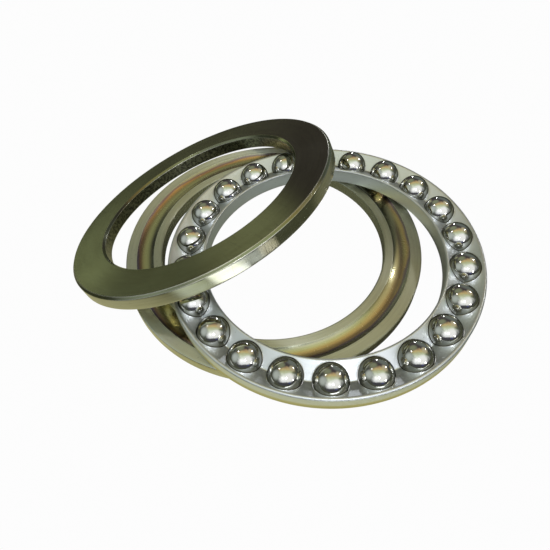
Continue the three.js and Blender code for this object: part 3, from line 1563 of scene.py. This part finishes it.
@dataclass
class BallSet:
    """The bearing's balls, each one in its own node and on its own joint."""

    finish: PolishedSteel
    radius: float = 6.747
    steps: int = 22

    def names(self) -> list[str]:
        """The balls' node names in order."""
        return sorted(name for name in frame["nodes"] if name.startswith("ball_"))

    def skin(self) -> tuple[np.ndarray, np.ndarray]:
        """A round skin with no poles, from the six sides of a cube.

        On each side two parameters run from minus to plus a quarter of pi. Their tangents and 1
        make a direction, which is brought to unit length.

        Returns:
            Unit directions of shape (n, 3), and quads of shape (m, 4).
        """
        t = np.tan(np.linspace(-math.pi / 4.0, math.pi / 4.0, self.steps + 1))
        u, v = np.meshgrid(t, t, indexing="ij")
        sheet = np.stack([u, v, np.ones_like(u)], axis=-1).reshape(-1, 3)
        sheet /= np.linalg.norm(sheet, axis=1)[:, None]
        sides = [np.roll(sheet * sign, shift, axis=1) for shift in range(3) for sign in (1.0, -1.0)]
        quads = grid_quads(self.steps + 1, self.steps + 1, False, False)
        turned = [quads if sign > 0 else quads[:, ::-1] for _ in range(3) for sign in (1.0, -1.0)]
        offset = len(sheet)
        numbered = [quad + offset * index for index, quad in enumerate(turned)]
        return np.concatenate(sides), np.concatenate(numbered)

    def build(self, effects: Effects) -> list[bpy.types.Object]:
        """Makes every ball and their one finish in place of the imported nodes.

        Args:
            effects: The shared effects.

        Returns:
            The balls' objects.
        """
        directions, quads = self.skin()
        material = self.finish.material(effects)
        pieces = []
        for name in self.names():
            centre = np.array(Seat.of_joint(f"{name}_roll").centre)
            vertices = centre + directions * self.radius * MM
            blank = np.zeros((len(vertices), 3))
            ball = Surface(vertices, quads, blank, blank, np.zeros(len(vertices))).welded()
            piece = ball.to_object(f"{name}_polished", name, material)
            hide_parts(name)
            pieces.append(piece)
        return pieces


# --------------------------------------------------------------------------------------------------
# Studio
# --------------------------------------------------------------------------------------------------


def bearing(azimuth: float, elevation: float) -> Vector:
    """Turns two angles into a direction.

    Args:
        azimuth: Degrees from -Y towards +X.
        elevation: Degrees up from level.

    Returns:
        The unit direction.
    """
    a = math.radians(azimuth)
    e = math.radians(elevation)
    return Vector((math.sin(a) * math.cos(e), -math.cos(a) * math.cos(e), math.sin(e)))


@dataclass(frozen=True)
class Glow:
    """A soft round patch of light in the room, seen in reflections.

    It is full within its core and fades to nothing at its reach, both in degrees from its centre.
    """

    azimuth: float
    elevation: float
    core: float
    reach: float
    colour: Colour

    def add_to(self, graph: Graph, direction: Socket, below: Source) -> Socket:
        """Adds the patch to the light that the room already has.

        The share is a smooth step of the cosine between the direction and the patch's centre.

        Args:
            graph: The room's nodes.
            direction: The direction looked in.
            below: The light so far.

        Returns:
            The light with the patch in it.
        """
        towards = graph.along(direction, bearing(self.azimuth, self.elevation))
        low = math.cos(math.radians(self.reach))
        high = math.cos(math.radians(self.core))
        return graph.mix(graph.span(towards, (low, high)), below, opaque(self.colour))


@dataclass(frozen=True)
class Room:
    """A dim room with strips of light that run across its ceiling, seen in reflections.

    strips gives the light by the angle over the top, as a share of half a turn: 0 is the horizon in
    front, 0.5 is overhead and 1 is the horizon behind. Sideways they fade out over side_fade, which
    is counted from side_centre. The coarse noise shifts the strips' edges by up to half of each
    waver, and the fine noise parts the dark from the cluttered colour beyond them.
    """

    azimuth: float = 34.64
    dark: Colour = (0.05, 0.052, 0.042)
    cluttered: Colour = (0.17, 0.19, 0.15)
    side_centre: float = 0.12
    side_fade: Range = (0.40, 0.92)
    coarse: Grain = Grain(5.0, 4.0, 0.6)
    fine: Grain = Grain(13.0, 3.0, 0.6)
    fine_range: Range = (0.48, 0.70)
    waver_over: float = 0.14
    waver_aside: float = 0.448
    strips: Stops = (
        (0.09, (0.06, 0.06, 0.07)),
        (0.15, (0.90, 0.92, 0.94)),
        (0.27, (1.35, 1.37, 1.35)),
        (0.38, (0.84, 0.89, 0.78)),
        (0.44, (0.62, 0.68, 0.48)),
        (0.52, (0.50, 0.50, 0.28)),
        (0.57, (0.60, 0.48, 0.22)),
        (0.63, (0.42, 0.30, 0.16)),
        (0.69, (0.07, 0.06, 0.06)),
    )

    def light(self, graph: Graph, direction: Socket) -> Socket:
        """The room's light in a direction.

        With f the direction's share towards the front and z its height, the angle over the top is
        the arc tangent of z over f. The direction's share to the side fades the strips out. Noise
        shifts both, so the strips have no straight edges.

        Args:
            graph: The room's nodes.
            direction: The direction looked in.

        Returns:
            The light.
        """
        turn = math.radians(self.azimuth)
        forward = graph.along(direction, (math.sin(turn), -math.cos(turn), 0.0))
        sideways = graph.along(direction, (math.cos(turn), math.sin(turn), 0.0))
        height = graph.maths("MAXIMUM", graph.part(direction, 2), 0.0)
        over = graph.maths("DIVIDE", graph.maths("ARCTAN2", height, forward), math.pi)
        swing = graph.maths("SUBTRACT", graph.noise(direction, self.coarse), 0.5)
        over = graph.maths("ADD", over, graph.maths("MULTIPLY", swing, self.waver_over))
        aside = graph.maths("ABSOLUTE", graph.maths("SUBTRACT", sideways, self.side_centre))
        aside = graph.maths("ADD", aside, graph.maths("MULTIPLY", swing, self.waver_aside))
        within = graph.span(aside, self.side_fade, (1.0, 0.0))
        clutter = graph.span(graph.noise(direction, self.fine), self.fine_range)
        around = graph.mix(clutter, opaque(self.dark), opaque(self.cluttered))
        return graph.mix(within, around, graph.ramp(over, self.strips))


@dataclass(frozen=True)
class Patch:
    """A soft oval of light lying on the floor, or of painted shadow where it is darker than the
    floor.

    Its centre and half widths are in millimetres, and softness is the share of the half widths
    over which it fades, inwards and outwards.
    """

    x: float
    y: float
    half_x: float
    half_y: float
    softness: float
    colour: Colour

    def add_to(self, graph: Graph, place: Socket, below: Source) -> Socket:
        """Adds the patch to the floor's light.

        The share is a smooth step of the distance from the centre, counted in half widths.

        Args:
            graph: The floor's nodes.
            place: The point on the floor, in metres.
            below: The light so far.

        Returns:
            The light with the patch in it.
        """
        mapping = graph.add("ShaderNodeVectorMath", operation="MULTIPLY_ADD")
        graph.feed(mapping.inputs[0], place)
        mapping.inputs[1].default_value = (1.0 / (self.half_x * MM), 1.0 / (self.half_y * MM), 0.0)
        mapping.inputs[2].default_value = (-self.x / self.half_x, -self.y / self.half_y, 0.0)
        length = graph.add("ShaderNodeVectorMath", operation="LENGTH")
        graph.feed(length.inputs[0], mapping.outputs[0])
        fade = (1.0 - self.softness, 1.0 + self.softness)
        share = graph.span(length.outputs["Value"], fade, (1.0, 0.0))
        return graph.mix(share, below, opaque(self.colour))


@dataclass(frozen=True)
class Lamp:
    """A small round light aimed at the part.

    azimuth and elevation are in degrees, distance and width in metres and power in watts.
    """

    name: str
    azimuth: float
    elevation: float
    distance: float
    width: float
    power: float

    def build(self, target: Vector) -> bpy.types.Object:
        """Puts the light up.

        Args:
            target: The point that it is aimed at.

        Returns:
            The light's object.
        """
        data = bpy.data.lights.new(self.name, "AREA")
        data.shape = "DISK"
        data.size = self.width
        data.energy = self.power
        light = bpy.data.objects.new(self.name, data)
        direction = bearing(self.azimuth, self.elevation)
        light.location = target + direction * self.distance
        light.rotation_euler = direction.to_track_quat("Z", "Y").to_euler()
        bpy.context.scene.collection.objects.link(light)
        return light


@dataclass(frozen=True)
class Studio:
    """Floor, light and camera, in metres and degrees.

    floor_seen is how pale the floor and the background look to the camera. floor_dim is how bright
    the floor is in reflections, between its patches.
    """

    camera_azimuth: float = 34.64
    camera_elevation: float = 53.73
    camera_roll: float = -3.65
    camera_distance: float = 0.20026
    aim: tuple[float, float, float] = (0.01414, -0.02019, 0.01389)
    lens: float = 31.15
    nearest: float = 0.01
    floor_side: float = 4.0
    floor_gap: float = 0.0002
    floor_seen: float = 0.98
    floor_dim: Colour = (0.075, 0.080, 0.050)
    room: Room = Room()
    glows: tuple[Glow, ...] = (
        Glow(-111.0, 7.0, 2.0, 9.0, (0.19, 0.20, 0.12)),
        Glow(-104.0, -4.0, 3.0, 9.0, (0.46, 0.50, 0.28)),
        Glow(-121.0, 11.0, 3.0, 9.0, (0.36, 0.37, 0.22)),
        Glow(-178.0, 10.0, 8.0, 34.0, (0.16, 0.18, 0.16)),
        Glow(-46.0, 33.0, 1.0, 34.0, (0.46, 0.50, 0.46)),
        Glow(-122.0, 45.0, 6.0, 26.0, (0.22, 0.24, 0.15)),
        Glow(150.0, 42.0, 4.0, 22.0, (0.52, 0.46, 0.30)),
        Glow(57.0, 13.0, 3.0, 9.0, (0.04, 0.05, 0.16)),
        Glow(70.0, 42.0, 8.0, 34.0, (1.0, 1.0, 0.98)),
    )
    # The floor's patches are painted: the dark ones are shadows under the rings, the bright ones
    # pools of light.
    patches: tuple[Patch, ...] = (
        Patch(20.0, -40.0, 110.0, 90.0, 0.35, (0.52, 0.50, 0.28)),
        Patch(0.0, 0.0, 66.0, 66.0, 0.06, (0.05, 0.05, 0.035)),
        Patch(26.4, 0.0, 68.0, 68.0, 0.06, (0.05, 0.05, 0.035)),
        Patch(0.0, 22.0, 40.0, 32.0, 0.4, (0.17, 0.175, 0.12)),
        Patch(20.0, 17.0, 14.0, 12.0, 0.5, (0.44, 0.48, 0.42)),
        Patch(52.0, 40.0, 30.0, 22.0, 0.5, (0.05, 0.05, 0.035)),
        Patch(110.0, 165.0, 90.0, 40.0, 0.4, (0.20, 0.20, 0.13)),
        Patch(60.0, -165.0, 46.0, 32.0, 0.3, (0.62, 0.68, 0.55)),
        Patch(190.0, -170.0, 74.0, 64.0, 0.12, (2.3, 2.4, 2.35)),
        Patch(322.0, -126.0, 46.0, 50.0, 0.2, (0.95, 1.02, 0.96)),
        Patch(402.0, -60.0, 36.0, 56.0, 0.12, (2.0, 1.9, 1.55)),
        Patch(-440.0, 78.0, 170.0, 52.0, 0.5, (0.62, 0.68, 0.38)),
        Patch(-120.0, -235.0, 60.0, 60.0, 0.35, (0.62, 0.64, 0.60)),
    )
    lamps: tuple[Lamp, ...] = (
        Lamp("window", 44.0, 46.0, 0.9, 0.14, 0.8),
        Lamp("right_lamp", 78.0, 16.0, 0.9, 0.09, 0.30),
        Lamp("left_lamp", -86.0, 54.0, 0.9, 0.06, 0.14),
        Lamp("back_lamp", 148.0, 33.0, 0.9, 0.045, 0.24),
        Lamp("low_lamp", -157.0, 9.0, 0.9, 0.05, 0.26),
    )

    def floor(self) -> bpy.types.Object:
        """A plain pale sheet under the lowest point of the part.

        Looked at, it is pale all over. In the metal's reflections it is a dim table with soft
        patches of light on it, and painted shadows under the rings.

        Returns:
            The sheet.
        """
        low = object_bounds()[0][2] - self.floor_gap
        half = self.floor_side / 2.0
        mesh = bpy.data.meshes.new("studio_floor")
        corners = [(-half, -half, low), (half, -half, low), (half, half, low), (-half, half, low)]
        mesh.from_pydata(corners, [], [(0, 1, 2, 3)])
        material = bpy.data.materials.new("pale_sheet")
        material.use_nodes = True
        material.node_tree.nodes.clear()
        graph = Graph(material.node_tree)
        place = object_place(graph)
        light: Source = opaque(self.floor_dim)
        for patch in self.patches:
            light = patch.add_to(graph, place, light)
        pale = graph.add("ShaderNodeEmission")
        pale.inputs["Color"].default_value = grey(self.floor_seen)
        dim = graph.add("ShaderNodeEmission")
        graph.feed(dim.inputs["Color"], light)
        choice = graph.add("ShaderNodeMixShader")
        graph.feed(choice.inputs[0], graph.add("ShaderNodeLightPath").outputs["Is Camera Ray"])
        graph.feed(choice.inputs[1], dim.outputs[0])
        graph.feed(choice.inputs[2], pale.outputs[0])
        graph.feed(graph.add("ShaderNodeOutputMaterial").inputs["Surface"], choice.outputs[0])
        mesh.materials.append(material)
        sheet = bpy.data.objects.new("studio_floor", mesh)
        bpy.context.scene.collection.objects.link(sheet)
        sheet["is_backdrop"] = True
        return sheet

    def world(self) -> None:
        """A plain pale background to the camera, and to reflections the dim room and its lights."""
        world = bpy.data.worlds.new("room")
        world.use_nodes = True
        graph = Graph(world.node_tree)
        background = world.node_tree.nodes["Background"]
        direction = graph.add("ShaderNodeTexCoord").outputs["Generated"]
        light = self.room.light(graph, direction)
        for glow in self.glows:
            light = glow.add_to(graph, direction, light)
        seen = graph.add("ShaderNodeLightPath").outputs["Is Camera Ray"]
        graph.feed(background.inputs[0], graph.mix(seen, light, grey(self.floor_seen)))
        bpy.context.scene.world = world

    def camera(self) -> bpy.types.Object:
        """Aims the camera at a point of the part and rolls it about its line of sight.

        Its right and up directions are the level and upright ones turned by the roll, and its place
        is the point plus the distance along the direction away from it.

        Returns:
            The camera's object.
        """
        data = bpy.data.cameras.new("camera")
        data.lens = self.lens
        data.clip_start = self.nearest
        camera = bpy.data.objects.new("camera", data)
        away = bearing(self.camera_azimuth, self.camera_elevation)
        level = Vector((0.0, 0.0, 1.0)).cross(away).normalized()
        upright = away.cross(level)
        roll = math.radians(self.camera_roll)
        right = level * math.cos(roll) + upright * math.sin(roll)
        up = away.cross(right)
        pose = Matrix((right, up, away)).transposed().to_4x4()
        pose.translation = Vector(self.aim) + away * self.camera_distance
        camera.matrix_world = pose
        bpy.context.scene.collection.objects.link(camera)
        bpy.context.scene.camera = camera
        return camera

    def build(self) -> None:
        """Sets up the floor, the room, the lights and the camera."""
        self.floor()
        self.world()
        for lamp in self.lamps:
            lamp.build(Vector(self.aim))
        self.camera()
        bpy.context.scene.view_settings.view_transform = "Standard"


# --------------------------------------------------------------------------------------------------
# Finishes
# --------------------------------------------------------------------------------------------------

# Across the raceway groove: oil-film tints with painted reflection bands, dark at the inner edge
# and near the outer one.
TRACK_FILM_AND_REFLECTIONS: Stops = (
    (0.0, (0.30, 0.32, 0.26)),
    (0.22, (0.66, 0.64, 0.42)),
    (0.45, (0.80, 0.75, 0.48)),
    (0.62, (0.82, 0.72, 0.42)),
    (0.76, (0.80, 0.58, 0.34)),
    (0.88, (0.36, 0.28, 0.38)),
    (1.0, (0.62, 0.63, 0.54)),
)

HOUSING_STEEL = GroundSteel(
    name="ground_steel_oiled",
    slot="housing_steel",
    flat=(0.93, 0.97, 0.87),
    flat_oiled=(0.87, 0.91, 0.76),
    rim=(0.66, 0.66, 0.56),
    rim_oiled=(0.56, 0.55, 0.38),
    bore=(0.56, 0.57, 0.44),
    bore_stain=(0.30, 0.29, 0.18),
    bare=(0.86, 0.87, 0.84),
    track=TRACK_FILM_AND_REFLECTIONS,
    flat_roughness=0.46,
    rim_roughness=0.20,
    bore_roughness=0.24,
    track_roughness=0.2,
    edge_amount=1.0,
    blotches=0.3,
)

SHAFT_STEEL = GroundSteel(
    name="ground_steel_dark",
    slot="shaft_steel",
    flat=(0.36, 0.38, 0.27),
    flat_oiled=(0.30, 0.31, 0.21),
    rim=(0.68, 0.68, 0.62),
    rim_oiled=(0.58, 0.58, 0.44),
    bore=(0.22, 0.23, 0.16),
    bore_stain=(0.05, 0.05, 0.038),
    bare=(0.84, 0.84, 0.78),
    track=TRACK_FILM_AND_REFLECTIONS,
    flat_roughness=0.16,
    rim_roughness=0.10,
    bore_roughness=0.3,
    track_roughness=0.2,
    edge_amount=1.5,
    blotches=0.85,
)

CAGE_STEEL = PressedSteel(
    name="pressed_steel_satin",
    slot="cage_steel",
    light=(0.88, 0.93, 0.99),
    shaded=(0.81, 0.86, 0.93),
    # painted reflection of a yellowish floor, low on the outer wall
    floor_reflection=(0.66, 0.62, 0.32),
    bare=(0.93, 0.94, 0.94),
    # painted shade on the cut edges and on the sheet as seen mirrored
    cut_shade=(0.13, 0.14, 0.12),
    shelter=0.75,
    roughness=0.42,
)

BALL_STEEL = PolishedSteel(
    name="polished_ball_steel",
    slot="ball_steel",
    bright=(0.82, 0.83, 0.83),
    oiled=(0.76, 0.76, 0.72),
    edge=0.15,
    roughness=0.05,
)


def main() -> None:
    """Builds each sub-assembly in order, then the studio."""
    logging.basicConfig(level=logging.INFO, format="%(name)s: %(message)s")
    effects = Effects()
    housing = Washer("housing_washer", Seat(), Facing.ALONG_AXIS, 51.0, HOUSING_STEEL)
    shaft_seat = Seat.of_joint("shaft_washer_spin")
    shaft = Washer("shaft_washer", shaft_seat, Facing.AGAINST_AXIS, 50.0, SHAFT_STEEL)
    cage_seat = Seat.of_joint("cage_spin")
    to_ball = np.array(Seat.of_joint("ball_01_roll").centre) - np.array(cage_seat.centre)
    cage = Cage(cage_seat, CAGE_STEEL, first_ball=math.atan2(to_ball[1], to_ball[0]))
    pieces = [housing.build(effects), cage.build(effects), shaft.build(effects)]
    pieces += BallSet(BALL_STEEL).build(effects)
    Studio().build()


if __name__ == "__main__":
    main()
